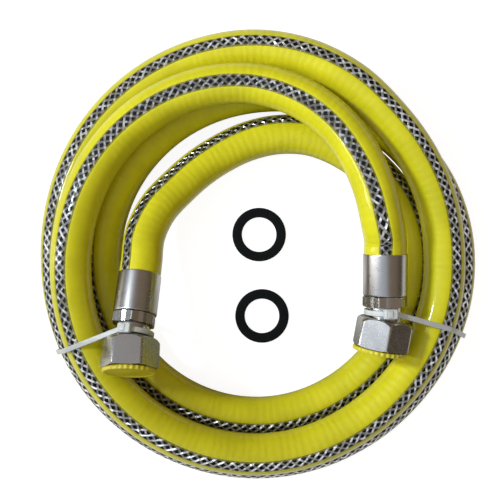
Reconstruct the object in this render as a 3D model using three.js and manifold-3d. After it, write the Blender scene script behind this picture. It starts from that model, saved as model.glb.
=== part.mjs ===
// Coiled flexible gas hose: a steel tube in a wire braid and a yellow cover with a lengthwise
// window, a crimped fitting with a union nut and a push-in cap at each end, two cable ties that
// hold the coil, and two loose sealing washers. Millimetres, +Z up. The coil lies flat with the
// origin under its centre, and both fittings point towards -Y.

import * as THREE from 'three';
import { mergeVertices } from 'three/addons/utils/BufferGeometryUtils.js';
import Module from 'manifold-3d';

const wasm = await Module();
wasm.setup();

// Clearance between pieces that touch
const GAP = 0.3;

// Hose, from its cover inwards
const HOSE_OD = 20;
const COVER_WALL = 1.6;
const WINDOW_WIDTH = 6;
const BRAID_WALL = 0.7;
const TUBE_WALL = 0.5;
const LINER_GAP = 0.6;
const COVER_SIDES = 10;
const LINER_SIDES = 8;
const HOSE_STEPS = 84;

// Shift that brings the middle of the whole coil over the origin
const CENTRING = [0.18, 1.33];

// Coil: radius of the turn at lane 0, free space between turns, and how it leans on its straps
const COIL_RADIUS = 80;
const TURN_GAP = 1;
const LEAN_SPAN = 150;
const COIL_POINTS = 82;
const LEAD = 6;
const NORTH_LANE = 1.1;
const REST_SAMPLES = 600;
const ROUTE_SAMPLES = 1500;

// Each station: bearing in degrees, which falls as the hose runs clockwise, lane and layer in
// hose pitches, and how far the window leans outwards from straight up, in degrees
const COIL = [
  [171, -1.135, 0.88, 43],
  [158, -1.20, 0.62, 43],
  [140, -1.32, 0.31, 43],
  [115, -1.27, 0.05, 44],
  [92, -1.04, 0, 46],
  [68, -0.71, 0, 44],
  [45, -0.47, 0, 42],
  [20, -0.17, 0, 38],
  [0, -0.02, 0, 34],
  [-45, 0.07, 0, 28],
  [-90, 0.16, 0, 29],
  [-135, 0.12, 0, 28],
  [-180, -0.02, 0, 34],
  [-225, -0.05, 0, 40],
  [-270, 0.10, 0, 40],
  [-292, 0.30, 0, 38],
  [-315, 0.54, 0, 36],
  [-340, 0.84, 0, 34],
  [-360, 0.985, 0, 33],
  [-405, 1.075, 0, 46],
  [-450, 1.17, 0, 60],
  [-495, 1.13, 0, 58],
  [-540, 0.99, 0, 35],
  [-585, 1.095, 0.05, 24],
  [-608, 1.095, 0.24, 20],
  [-630, 1.04, 0.50, 17],
  [-652, 0.84, 0.84, 20],
  [-675, 0.57, 1.00, 23],
  [-700, 0.524, 0.96, 25],
  [-720, 0.53, 0.91, 26],
  [-742, 0.62, 0.92, 26],
  [-765, 0.69, 0.94, 27],
  [-810, 0.85, 0.97, 27],
  [-855, 0.80, 0.97, 24],
  [-900, 0.548, 0.92, 21],
  [-945, 0.405, 0.93, 8],
  [-967, 0.286, 1.01, 2],
  [-990, 0.10, 1.10, -3],
  [-1012, -0.21, 1.33, -8],
  [-1035, -0.62, 1.66, -12],
  [-1052, -0.86, 1.81, -9],
  [-1065, -0.965, 1.845, -7],
];

// Ferrule crimped over the braid's end, and the ring that clamps the braid inside it
const FERRULE_OD = 20.8;
const FERRULE_LENGTH = 19.4;
const FERRULE_EDGE = 0.8;
const EDGE_ROUND = 0.3;
const BRAID_RING_WALL = 0.8;
const BRAID_RING_LENGTH = 8;

// Tail: spigot in the tube, hexagon for a spanner and the neck that the nut turns on
const SPIGOT_LENGTH = 14;
const SPIGOT_WALL = 1;
const HEX_FLATS = 19;
const HEX_LENGTH = 5;
const HEX_CHAMFER = 0.7;
const NECK_OD = 16;
const NECK_LENGTH = 12;
const NECK_LIP = 1.6;
const SEAT_CHAMFER = 0.8;

// Union nut with a half-inch pipe thread, and the wire ring that keeps it on the neck
const NUT_FLATS = 24;
const NUT_LENGTH = 14.3;
const NUT_BACK = 3;
const NUT_PLAY = 0.8;
const NUT_SHOULDER = 3.9;
const SHOULDER_BULGE = 0.68;
const NUT_CHAMFER = 1.2;
const CHAMFER_SLOPE = 1.6;
const THREAD_BORE = 18.6;
const THREAD_RELIEF = 20.9;
const UNDERCUT = 20.6;
const UNDERCUT_LENGTH = 5.6;
const SNAP_WIRE = 1.2;
const SNAP_SPLIT = 24;
const NUT_REST = 0.5;

// Push-in cap
const CAP_RIM_OD = 25.6;
const CAP_RIM_THICKNESS = 2;
const CAP_TEETH = 30;
const CAP_TOOTH_DEPTH = 0.45;
const CAP_PLUG_LENGTH = 4.2;
const CAP_WALL = 1;

// Cable tie
const STRAP_WIDTH = 2.5;
const STRAP_THICKNESS = 1.2;
const STRAP_SLACK = 0.8;
const STRAP_HEAD = 6.2;
const STRAP_HEAD_WIDTH = 4;
const STRAP_HEAD_HEIGHT = 4;
const STRAP_HEAD_SLOPE = 0.6;
const STRAP_STEP = 15;
const STRAP_REACH = 45;

// Sealing washers
const WASHER_OD = 28;
const WASHER_BORE = 18;
const WASHER_THICKNESS = 2.5;
const WASHER_EDGE = 0.4;
const WASHER_PLACES = [[0.8, 9.6], [2.3, -32.9]];

// Flat sides that stand for a round: nuts and washers, other turned pieces, small ones, bores
const FINE_SIDES = 30;
const ROUND_SIDES = 24;
const SMALL_SIDES = 20;
const BORE_SIDES = 16;
const SNAP_SIDES = 18;
const STRIP_SIDES = 2;

// The two ends: bearing and lane of the nut's middle, where the fitting points, how far the
// loose nut has slid and tilted on its neck, how the hexagons are turned, and where the tie's
// head and strap lie
const ENDS = {
  a: {
    nutAt: [218, -0.183],
    heading: -95.3,
    rise: 18,
    neckShown: 6.4,
    nutTilt: 4,
    nutTurn: 2,
    hexTurn: 30,
    headTurn: 76,
    strapHeading: 203,
    strapPlace: 3.95,
  },
  b: {
    nutAt: [327.2, -0.479],
    heading: -90,
    rise: -3,
    neckShown: 5.8,
    nutTilt: -10,
    nutTurn: 26,
    hexTurn: 53,
    headTurn: 83,
    strapHeading: -21,
    strapPlace: 2.5,
  },
};

// Places along a fitting, measured from the end of the hose's cover
const FERRULE_START = GAP;
const FERRULE_END = FERRULE_START + FERRULE_LENGTH;
const HEX_START = FERRULE_END + GAP;
const HEX_END = HEX_START + HEX_LENGTH;
const SNAP_START = HEX_END + NECK_LENGTH;
const SNAP_END = SNAP_START + SNAP_WIRE;
const TAIL_END = SNAP_END + GAP + NECK_LIP;

// Places along a nut, measured from its back: it tilts about the middle of its back wall
const NUT_PIVOT = NUT_BACK / 2;
const CAP_START = NUT_LENGTH + GAP;

// Radii that follow from the sizes above
const HOSE_RADIUS = HOSE_OD / 2;
const COVER_BORE = HOSE_RADIUS - COVER_WALL;
const BRAID_RADIUS = COVER_BORE * Math.cos(Math.PI / COVER_SIDES) - GAP;
const BRAID_BORE = BRAID_RADIUS - BRAID_WALL;
const TUBE_RADIUS = BRAID_BORE - LINER_GAP;
const TUBE_BORE = TUBE_RADIUS - TUBE_WALL;
const SPIGOT_RADIUS = TUBE_BORE * Math.cos(Math.PI / LINER_SIDES) - GAP;
const TAIL_BORE = SPIGOT_RADIUS - SPIGOT_WALL;
const BRAID_RING_BORE = BRAID_RADIUS + GAP;
const BRAID_RING_RADIUS = BRAID_RING_BORE + BRAID_RING_WALL;
const FERRULE_BORE = BRAID_RING_RADIUS + GAP;
const NECK_RADIUS = NECK_OD / 2;
const SNAP_RADIUS = THREAD_BORE / 2 - GAP;
const PLUG_RADIUS = THREAD_BORE / 2 - GAP;

// Coil measures
const PITCH = HOSE_OD + TURN_GAP;
const NORTH_EDGE = COIL_RADIUS + NORTH_LANE * PITCH;
const STRAP_ROOM = STRAP_THICKNESS + STRAP_SLACK + GAP;
const UP = new THREE.Vector3(0, 0, 1);
const radians = THREE.MathUtils.degToRad;

// How far the leaning coil is lifted at a given y: the straps raise its near side
function lift(y) {
  return STRAP_ROOM * (NORTH_EDGE - y) / LEAN_SPAN;
}

// Centre of the hose at a bearing, lane and layer
function coilPoint(bearing, lane, layer) {
  const radius = COIL_RADIUS + lane * PITCH;
  const x = radius * Math.cos(radians(bearing));
  const y = radius * Math.sin(radians(bearing));
  return new THREE.Vector3(x, y, HOSE_RADIUS + layer * PITCH + lift(y));
}

// The coil between its stations: lane, layer and the window's lean at a falling bearing
function coilBetween() {
  const bearings = COIL.map((station) => -station[0]);
  const values = COIL.flatMap((station) => station.slice(1));
  const between = new THREE.CubicInterpolant(bearings, values, 3, new Float64Array(3));
  const first = bearings[0];
  const last = bearings[bearings.length - 1];
  return (part) => {
    const bearing = first + (last - first) * part;
    const [lane, layer, lean] = between.evaluate(bearing);
    return { point: coilPoint(-bearing, lane, layer), lean };
  };
}

// Height at which a nut and its cap, let down over a place, come to rest on the turns below
function restingHeight(x, y, axis) {
  const coil = coilBetween();
  const nutCorner = NUT_FLATS / 2 / Math.cos(Math.PI / 6);
  const rounds = [
    [NUT_SHOULDER, nutCorner],
    [NUT_LENGTH, nutCorner],
    [CAP_START + CAP_RIM_THICKNESS, CAP_RIM_OD / 2],
  ];
  let height = 0;
  for (let i = 0; i <= REST_SAMPLES; i += 1) {
    const { point } = coil(i / REST_SAMPLES);
    for (const [place, radius] of rounds) {
      const along = place - NUT_LENGTH / 2;
      const dx = x + along * axis.x - point.x;
      const dy = y + along * axis.y - point.y;
      const reach = HOSE_RADIUS + radius + NUT_REST;
      const spare = reach * reach - dx * dx - dy * dy;
      if (spare > 0) {
        height = Math.max(height, point.z + Math.sqrt(spare) - along * axis.z);
      }
    }
  }
  return height;
}

// Frame of a fitting: origin at the end of the cover, its axis towards the nut's mouth, and the
// nut's own axis, which leans away from it round the way up
function fittingFrame(end) {
  const rise = radians(end.rise);
  const heading = radians(end.heading);
  const axis = new THREE.Vector3(
    Math.cos(heading) * Math.cos(rise),
    Math.sin(heading) * Math.cos(rise),
    Math.sin(rise),
  );
  const side = new THREE.Vector3().crossVectors(axis, UP).normalize();
  const up = new THREE.Vector3().crossVectors(side, axis);
  const nutAxis = axis.clone().applyAxisAngle(up, radians(end.nutTilt));
  const [bearing, lane] = end.nutAt;
  const middle = coilPoint(bearing, lane, 0);
  middle.z = restingHeight(middle.x, middle.y, nutAxis);
  const nutOrigin = middle.addScaledVector(nutAxis, -NUT_LENGTH / 2);
  const pivot = nutOrigin.clone().addScaledVector(nutAxis, NUT_PIVOT);
  const pivotPlace = HEX_END + end.neckShown + NUT_PIVOT;
  const origin = pivot.addScaledVector(axis, -pivotPlace);
  return { axis, side, up, origin, nutAxis, nutOrigin };
}

// Curve through the coil's points that also knows how the window leans along it
class HoseRoute extends THREE.CatmullRomCurve3 {
  constructor(points, leans) {
    super(points, false, 'centripetal');
    this.leans = leans;
    this.arcLengthDivisions = 2 * ROUTE_SAMPLES;
  }

  leanAt(u) {
    const place = this.getUtoTmapping(u) * (this.leans.length - 1);
    const index = Math.min(Math.floor(place), this.leans.length - 2);
    return THREE.MathUtils.lerp(this.leans[index], this.leans[index + 1], place - index);
  }
}

// The hose's centre line from fitting to fitting, with the coil's turns worked out by a loop
function hoseRoute(frameA, frameB) {
  const coil = coilBetween();
  const points = [frameA.origin, frameA.origin.clone().addScaledVector(frameA.axis, -LEAD)];
  const leans = [coil(0).lean, coil(0).lean];
  for (let i = 0; i <= COIL_POINTS; i += 1) {
    const { point, lean } = coil(i / COIL_POINTS);
    points.push(point);
    leans.push(lean);
  }
  points.push(frameB.origin.clone().addScaledVector(frameB.axis, -LEAD), frameB.origin);
  leans.push(coil(1).lean, coil(1).lean);
  return new HoseRoute(points, leans);
}

// Path made of stations, each with a position, a tangent and the side that its section faces
class StationPath extends THREE.Curve {
  constructor(stations) {
    super();
    this.stations = stations;
  }

  getPoint(t) {
    const place = t * (this.stations.length - 1);
    const index = Math.min(Math.floor(place), this.stations.length - 2);
    const from = this.stations[index].position;
    return from.clone().lerp(this.stations[index + 1].position, place - index);
  }

  getSpacedPoints() {
    return this.stations.map((station) => station.position);
  }

  computeFrenetFrames() {
    const tangents = this.stations.map((station) => station.tangent);
    const binormals = this.stations.map((station) => (
      new THREE.Vector3().crossVectors(station.tangent, station.facing).normalize()
    ));
    const normals = binormals.map((binormal, i) => (
      new THREE.Vector3().crossVectors(binormal, tangents[i])
    ));
    return { tangents, normals, binormals };
  }
}

// A section carried along stations
function swept(shape, stations) {
  const path = new StationPath(stations);
  return new THREE.ExtrudeGeometry(shape, {
    steps: stations.length - 1,
    extrudePath: path,
    curveSegments: 1,
  });
}

// Direction square to the hose that leans outwards from straight up
function facingAt(tangent, lean) {
  const outward = new THREE.Vector3().crossVectors(UP, tangent).normalize();
  const up = new THREE.Vector3().crossVectors(tangent, outward);
  const angle = radians(lean);
  return up.multiplyScalar(Math.cos(angle)).addScaledVector(outward, Math.sin(angle));
}

// Stations of the cover, from one ferrule's mouth to the other
function hoseStations(route, frameA, frameB) {
  const stations = [];
  for (let i = 0; i <= HOSE_STEPS; i += 1) {
    const u = i / HOSE_STEPS;
    const tangent = route.getTangentAt(u);
    if (i === 0) tangent.copy(frameA.axis).negate();
    if (i === HOSE_STEPS) tangent.copy(frameB.axis);
    const facing = facingAt(tangent, route.leanAt(u));
    stations.push({ position: route.getPointAt(u), tangent, facing });
  }
  return stations;
}

// Stations of the layers that run on into the ferrules
function linerStations(stations, frameA, frameB) {
  const first = stations[0];
  const last = stations[stations.length - 1];
  const inA = first.position.clone().addScaledVector(frameA.axis, FERRULE_END);
  const inB = last.position.clone().addScaledVector(frameB.axis, FERRULE_END);
  return [{ ...first, position: inA }, ...stations, { ...last, position: inB }];
}

// Points round an arc, x towards the window
function arcPoints(radius, from, to, count) {
  const points = [];
  for (let i = 0; i <= count; i += 1) {
    const angle = from + (to - from) * i / count;
    points.push(new THREE.Vector2(radius * Math.cos(angle), radius * Math.sin(angle)));
  }
  return points;
}

// Half the angle that the window takes at a radius, with a little room for the cover
function windowHalfAngle(radius, room) {
  return Math.asin(WINDOW_WIDTH / 2 / HOSE_RADIUS) + room / radius;
}

// Cover: an open ring whose slot takes the window strip
function coverShape() {
  const outer = windowHalfAngle(HOSE_RADIUS, GAP);
  const inner = windowHalfAngle(COVER_BORE, GAP);
  const round = 2 * Math.PI;
  const outside = arcPoints(HOSE_RADIUS, outer, round - outer, COVER_SIDES - 1);
  const inside = arcPoints(COVER_BORE, round - inner, inner, COVER_SIDES - 1);
  return new THREE.Shape([...outside, ...inside]);
}

// Clear strip that fills the slot
function windowShape() {
  const outer = windowHalfAngle(HOSE_RADIUS, 0);
  const inner = windowHalfAngle(COVER_BORE, 0);
  const outside = arcPoints(HOSE_RADIUS, -outer, outer, STRIP_SIDES);
  const inside = arcPoints(COVER_BORE, inner, -inner, STRIP_SIDES);
  return new THREE.Shape([...outside, ...inside]);
}

// Ring with flat sides, as a shape with a hole
function ringShape(radius, bore) {
  const half = Math.PI / LINER_SIDES;
  const round = 2 * Math.PI;
  const points = arcPoints(radius, half, round - half, LINER_SIDES - 1);
  const shape = new THREE.Shape(points);
  shape.holes.push(new THREE.Path(arcPoints(bore, half, round - half, LINER_SIDES - 1)));
  return shape;
}

// A turned piece: its profile of [radius, place] pairs closes on itself
function turned(profile, segments = ROUND_SIDES) {
  const points = [...profile, profile[0]].map(([r, y]) => new THREE.Vector2(r, y));
  return new THREE.LatheGeometry(points, segments);
}

// A turned piece with no bore, its profile starting and ending on the axis
function turnedSolid(profile, segments = ROUND_SIDES) {
  const points = profile.map(([r, y]) => new THREE.Vector2(r, y));
  return new THREE.LatheGeometry(points, segments);
}

// Plain disc or rod along the axis
function rod(radius, from, to, segments) {
  return turnedSolid([[0, from], [radius, from], [radius, to], [0, to]], segments);
}

// A flat shape drawn across the axis and pulled along it
function pulled(shape, from, to) {
  const geometry = new THREE.ExtrudeGeometry(shape, { depth: to - from, bevelEnabled: false });
  geometry.rotateX(-Math.PI / 2);
  geometry.translate(0, from, 0);
  return geometry;
}

// Hexagonal bar across given flats
function hexBar(flats, from, to) {
  const corner = flats / 2 / Math.cos(Math.PI / 6);
  const corners = arcPoints(corner, 0, 2 * Math.PI * 5 / 6, 5);
  return pulled(new THREE.Shape(corners), from, to);
}

// Closed geometry to a solid for joining and cutting
function solid(geometry) {
  const bare = geometry.clone();
  bare.deleteAttribute('normal');
  bare.deleteAttribute('uv');
  const merged = mergeVertices(bare, 1e-4);
  return new wasm.Manifold(new wasm.Mesh({
    numProp: 3,
    vertProperties: new Float32Array(merged.attributes.position.array),
    triVerts: new Uint32Array(merged.index.array),
  }));
}

// Solid back to a geometry
function geometryOf(body) {
  const mesh = body.getMesh();
  const geometry = new THREE.BufferGeometry();
  geometry.setAttribute('position', new THREE.BufferAttribute(mesh.vertProperties, 3));
  geometry.setIndex(new THREE.BufferAttribute(mesh.triVerts, 1));
  const flat = geometry.toNonIndexed();
  flat.computeVertexNormals();
  return flat;
}

// Ferrule: a tube with its outer edges rounded over
function ferruleGeometry() {
  const radius = FERRULE_OD / 2;
  const edge = FERRULE_EDGE;
  return turned([
    [FERRULE_BORE, FERRULE_START],
    [radius - edge, FERRULE_START],
    [radius - EDGE_ROUND * edge, FERRULE_START + EDGE_ROUND * edge],
    [radius, FERRULE_START + edge],
    [radius, FERRULE_END - edge],
    [radius - EDGE_ROUND * edge, FERRULE_END - EDGE_ROUND * edge],
    [radius - edge, FERRULE_END],
    [FERRULE_BORE, FERRULE_END],
  ]);
}

// Ring that clamps the braid near its end
function braidRingGeometry() {
  const from = FERRULE_END - BRAID_RING_LENGTH;
  return turned([
    [BRAID_RING_BORE, from],
    [BRAID_RING_RADIUS, from],
    [BRAID_RING_RADIUS, FERRULE_END - GAP],
    [BRAID_RING_BORE, FERRULE_END - GAP],
  ], SMALL_SIDES);
}

// Tail: spigot, hexagon and neck in one turned bar with a bore right through
function tailGeometry(end) {
  const start = FERRULE_END - SPIGOT_LENGTH;
  const corner = HEX_FLATS / 2 / Math.cos(Math.PI / 6);
  const groove = SNAP_RADIUS - SNAP_WIRE - GAP;
  const bar = turnedSolid([
    [0, start],
    [SPIGOT_RADIUS, start],
    [SPIGOT_RADIUS, HEX_START + HEX_LENGTH / 2],
    [NECK_RADIUS, HEX_START + HEX_LENGTH / 2],
    [NECK_RADIUS, SNAP_START - GAP],
    [groove, SNAP_START - GAP],
    [groove, SNAP_END + GAP],
    [NECK_RADIUS, SNAP_END + GAP],
    [NECK_RADIUS, TAIL_END - SEAT_CHAMFER],
    [NECK_RADIUS - SEAT_CHAMFER, TAIL_END],
    [0, TAIL_END],
  ], SMALL_SIDES);
  const hex = hexBar(HEX_FLATS, HEX_START, HEX_END);
  hex.rotateY(radians(end.hexTurn));
  const ends = turnedSolid([
    [0, HEX_START],
    [corner - HEX_CHAMFER, HEX_START],
    [corner, HEX_START + HEX_CHAMFER],
    [corner, HEX_END - HEX_CHAMFER],
    [corner - HEX_CHAMFER, HEX_END],
    [0, HEX_END],
  ]);
  const bore = rod(TAIL_BORE, start - 1, TAIL_END + 1, BORE_SIDES);
  const block = solid(hex).intersect(solid(ends));
  return geometryOf(solid(bar).add(block).subtract(solid(bore)));
}

// Wire ring with a split, sitting in the neck's groove behind the nut's back wall
function snapRingGeometry() {
  const half = radians(SNAP_SPLIT) / 2;
  const bore = SNAP_RADIUS - SNAP_WIRE;
  const outside = arcPoints(SNAP_RADIUS, half, 2 * Math.PI - half, SNAP_SIDES);
  const inside = arcPoints(bore, 2 * Math.PI - half, half, SNAP_SIDES);
  return pulled(new THREE.Shape([...outside, ...inside]), SNAP_START, SNAP_END);
}

// Union nut: a hexagon turned down to a sloping shoulder at the back, bored for its thread and
// undercut behind it for the wire ring
function nutGeometry(end) {
  const corner = NUT_FLATS / 2 / Math.cos(Math.PI / 6);
  const hex = hexBar(NUT_FLATS, 0, NUT_LENGTH);
  hex.rotateY(radians(end.nutTurn));
  const shoulder = corner - NUT_SHOULDER;
  const envelope = turnedSolid([
    [0, 0],
    [shoulder, 0],
    [corner - (1 - SHOULDER_BULGE) * NUT_SHOULDER, NUT_SHOULDER / 2],
    [corner, NUT_SHOULDER],
    [corner, NUT_LENGTH - NUT_CHAMFER],
    [corner - CHAMFER_SLOPE * NUT_CHAMFER, NUT_LENGTH],
    [0, NUT_LENGTH],
  ], FINE_SIDES);
  const bore = turnedSolid([
    [0, -1],
    [NECK_RADIUS + NUT_PLAY, -1],
    [NECK_RADIUS + NUT_PLAY, NUT_BACK],
    [UNDERCUT / 2, NUT_BACK],
    [UNDERCUT / 2, NUT_BACK + UNDERCUT_LENGTH],
    [THREAD_BORE / 2, NUT_BACK + UNDERCUT_LENGTH],
    [THREAD_BORE / 2, NUT_LENGTH - NUT_CHAMFER],
    [THREAD_RELIEF / 2, NUT_LENGTH],
    [THREAD_RELIEF / 2, NUT_LENGTH + 1],
    [0, NUT_LENGTH + 1],
  ]);
  return geometryOf(solid(hex).intersect(solid(envelope)).subtract(solid(bore)));
}

// Cap: a toothed rim in front of the nut and a hollow plug inside it
function capGeometry() {
  const points = [];
  for (let i = 0; i < 2 * CAP_TEETH; i += 1) {
    const radius = CAP_RIM_OD / 2 - (i % 2) * CAP_TOOTH_DEPTH;
    const angle = Math.PI * i / CAP_TEETH;
    points.push(new THREE.Vector2(radius * Math.cos(angle), radius * Math.sin(angle)));
  }
  const rim = pulled(new THREE.Shape(points), CAP_START, CAP_START + CAP_RIM_THICKNESS);
  const inner = CAP_START - CAP_PLUG_LENGTH;
  const plug = turned([
    [PLUG_RADIUS - CAP_WALL, inner],
    [PLUG_RADIUS - CAP_WALL / 3, inner],
    [PLUG_RADIUS, inner + CAP_WALL],
    [PLUG_RADIUS, CAP_START + CAP_RIM_THICKNESS / 2],
    [PLUG_RADIUS - CAP_WALL, CAP_START + CAP_RIM_THICKNESS / 2],
  ], SMALL_SIDES);
  return geometryOf(solid(rim).add(solid(plug)));
}

// Turns of the hose that cross a strap's line, with their distance along it
function turnsUnder(route, start, away) {
  const points = route.getSpacedPoints(ROUTE_SAMPLES);
  const turns = [];
  for (let i = 1; i <= ROUTE_SAMPLES; i += 1) {
    const before = points[i - 1].clone().sub(start);
    const after = points[i].clone().sub(start);
    const sideBefore = before.x * away.y - before.y * away.x;
    const sideAfter = after.x * away.y - after.y * away.x;
    const along = after.dot(away);
    if (sideBefore * sideAfter <= 0 && along > -HOSE_RADIUS && along < STRAP_REACH) {
      const run = points[i].clone().sub(points[i - 1]).normalize();
      const square = Math.abs(run.x * away.y - run.y * away.x);
      turns.push({ along, point: points[i].clone(), radius: HOSE_RADIUS / square });
    }
  }
  return turns;
}

// Stations of a strap pulled tight round the neck and the turns of the hose beside it: at each
// angle it touches whichever of them reaches out furthest
function strapStations(end, frame, route) {
  const neck = frame.origin.clone().addScaledVector(frame.axis, HEX_END + end.strapPlace);
  const heading = radians(end.strapHeading);
  const away = new THREE.Vector3(Math.cos(heading), Math.sin(heading), 0);
  const across = frame.side.clone().multiplyScalar(Math.sign(frame.side.dot(away)));
  const turnOff = NECK_RADIUS + STRAP_THICKNESS;
  const start = neck.clone().addScaledVector(across, turnOff);
  const neckRadius = NECK_RADIUS / frame.up.z;
  const rounds = [{ point: neck, q: 0, radius: neckRadius, level: across, up: frame.up }];
  for (const turn of turnsUnder(route, start, away)) {
    const q = turnOff + turn.along;
    rounds.push({ point: turn.point, q, radius: turn.radius, level: away, up: UP });
  }
  const offset = STRAP_SLACK + STRAP_THICKNESS / 2;
  const half = radians(STRAP_STEP) / 2;
  const stations = [];
  const count = Math.round(360 / STRAP_STEP);
  for (let i = 0; i < count; i += 1) {
    const angle = radians(end.headTurn) + half + i * 2 * half;
    const reach = (round) => (
      round.q * Math.cos(angle) + round.point.z * Math.sin(angle) + round.radius
    );
    const round = rounds.reduce((best, next) => (reach(next) > reach(best) ? next : best));
    const facing = round.level.clone().multiplyScalar(Math.cos(angle));
    facing.addScaledVector(round.up, Math.sin(angle));
    const radius = (round.radius + offset) / Math.cos(half);
    const position = round.point.clone().addScaledVector(facing, radius);
    stations.push({ position, facing });
  }
  stations.forEach((station, i) => {
    const before = stations[Math.max(i - 1, 0)].position;
    const after = stations[Math.min(i + 1, count - 1)].position;
    station.tangent = after.clone().sub(before).normalize();
  });
  return stations;
}

// Head of the tie, a small block with sloped ends over the neck
function strapHead(end, frame) {
  const base = NECK_RADIUS + GAP;
  const half = STRAP_HEAD / 2;
  const top = base + STRAP_HEAD_HEIGHT;
  const block = new THREE.ExtrudeGeometry(new THREE.Shape([
    new THREE.Vector2(-half, base),
    new THREE.Vector2(half, base),
    new THREE.Vector2(half, base + STRAP_HEAD_SLOPE * STRAP_HEAD_HEIGHT),
    new THREE.Vector2(STRAP_HEAD_SLOPE * half, top),
    new THREE.Vector2(-STRAP_HEAD_SLOPE * half, top),
    new THREE.Vector2(-half, base + STRAP_HEAD_SLOPE * STRAP_HEAD_HEIGHT),
  ]), { depth: STRAP_HEAD_WIDTH, bevelEnabled: false });
  block.translate(0, 0, -STRAP_HEAD_WIDTH / 2);
  const heading = radians(end.strapHeading);
  const away = new THREE.Vector3(Math.cos(heading), Math.sin(heading), 0);
  const across = frame.side.clone().multiplyScalar(Math.sign(frame.side.dot(away)));
  const angle = radians(end.headTurn);
  const out = across.clone().multiplyScalar(Math.cos(angle));
  out.addScaledVector(frame.up, Math.sin(angle));
  const along = new THREE.Vector3().crossVectors(out, frame.axis).normalize();
  const basis = new THREE.Matrix4().makeBasis(along, out, along.clone().cross(out));
  const neck = frame.origin.clone().addScaledVector(frame.axis, HEX_END + end.strapPlace);
  block.applyMatrix4(basis.setPosition(neck));
  return block;
}

// Cable tie: strap and head in one piece
function tieGeometry(end, frame, route) {
  const t = STRAP_THICKNESS / 2;
  const w = STRAP_WIDTH / 2;
  const section = new THREE.Shape([
    new THREE.Vector2(-t, -w),
    new THREE.Vector2(t, -w),
    new THREE.Vector2(t, w),
    new THREE.Vector2(-t, w),
  ]);
  const strap = swept(section, strapStations(end, frame, route));
  return geometryOf(solid(strap).add(solid(strapHead(end, frame))));
}

// Flat sealing washer lying on the ground
function washerGeometry() {
  const radius = WASHER_OD / 2;
  const bore = WASHER_BORE / 2;
  const top = WASHER_THICKNESS;
  const geometry = turned([
    [bore, 0],
    [radius, 0],
    [radius, top - WASHER_EDGE],
    [radius - WASHER_EDGE, top],
    [bore + WASHER_EDGE, top],
    [bore, top - WASHER_EDGE],
  ], FINE_SIDES);
  geometry.rotateX(Math.PI / 2);
  return geometry;
}

const METAL = { color: 0xb3aba3, roughness: 0.3, metalness: 1 };
const PLATED = { color: 0xa59c92, roughness: 0.28, metalness: 1 };
const materials = {
  cover: new THREE.MeshStandardMaterial({ color: 0xe3dc3c, roughness: 0.3 }),
  window: new THREE.MeshStandardMaterial({ color: 0xd9d9c8, roughness: 0.2 }),
  braid: new THREE.MeshStandardMaterial({ color: 0x8d8d8d, roughness: 0.4, metalness: 1 }),
  tube: new THREE.MeshStandardMaterial({ color: 0x9c9c9a, roughness: 0.35, metalness: 1 }),
  ferrule: new THREE.MeshStandardMaterial(METAL),
  tail: new THREE.MeshStandardMaterial(PLATED),
  nut: new THREE.MeshStandardMaterial(PLATED),
  wire: new THREE.MeshStandardMaterial(METAL),
  cap: new THREE.MeshStandardMaterial({ color: 0xe2cc2e, roughness: 0.45 }),
  tie: new THREE.MeshStandardMaterial({ color: 0xdfe6ea, roughness: 0.35 }),
  rubber: new THREE.MeshStandardMaterial({ color: 0x14171a, roughness: 0.6 }),
};

const group = new THREE.Group();
group.position.set(...CENTRING, 0);

// Adds a named mesh to a parent
function add(parent, name, geometry, material) {
  const mesh = new THREE.Mesh(geometry, material);
  mesh.name = name;
  parent.add(mesh);
  return mesh;
}

const frameA = fittingFrame(ENDS.a);
const frameB = fittingFrame(ENDS.b);
const route = hoseRoute(frameA, frameB);
const coverStations = hoseStations(route, frameA, frameB);
const innerStations = linerStations(coverStations, frameA, frameB);

add(group, 'hose_cover', swept(coverShape(), coverStations), materials.cover);
add(group, 'window_strip', swept(windowShape(), coverStations), materials.window);
const braidShape = ringShape(BRAID_RADIUS, BRAID_BORE);
add(group, 'braid_sleeve', swept(braidShape, innerStations), materials.braid);
const tubeShape = ringShape(TUBE_RADIUS, TUBE_BORE);
add(group, 'inner_tube', swept(tubeShape, innerStations), materials.tube);

// Group whose local Y runs along an axis and whose Z points up across it
function groupAlong(axis, up, origin) {
  const placed = new THREE.Group();
  placed.applyMatrix4(new THREE.Matrix4()
    .makeBasis(axis.clone().cross(up), axis, up)
    .setPosition(origin));
  group.add(placed);
  return placed;
}

for (const [letter, end] of Object.entries(ENDS)) {
  const frame = letter === 'a' ? frameA : frameB;
  const fitting = groupAlong(frame.axis, frame.up, frame.origin);
  const nut = groupAlong(frame.nutAxis, frame.up, frame.nutOrigin);
  add(fitting, `ferrule_${letter}`, ferruleGeometry(), materials.ferrule);
  add(fitting, `braid_ring_${letter}`, braidRingGeometry(), materials.wire);
  add(fitting, `tail_${letter}`, tailGeometry(end), materials.tail);
  add(fitting, `snap_ring_${letter}`, snapRingGeometry(), materials.wire);
  add(nut, `union_nut_${letter}`, nutGeometry(end), materials.nut);
  add(nut, `end_cap_${letter}`, capGeometry(), materials.cap);
  add(group, `cable_tie_${letter}`, tieGeometry(end, frame, route), materials.tie);
}

WASHER_PLACES.forEach(([x, y], i) => {
  const washer = add(group, `sealing_washer_${i + 1}`, washerGeometry(), materials.rubber);
  washer.position.set(x, y, 0);
});

export default group;
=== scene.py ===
"""Coiled flexible gas hose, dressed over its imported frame.

A yellow cover with a clear lengthwise window over a wire braid, a crimped ferrule, a
hexagon, a union nut and a push-in cap at each end, two nylon ties and two rubber washers.
Surfaces are worked out in millimetres and put into their meshes in metres. The add-on's
sizes, the finishes and the stage are in metres.
"""

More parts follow.
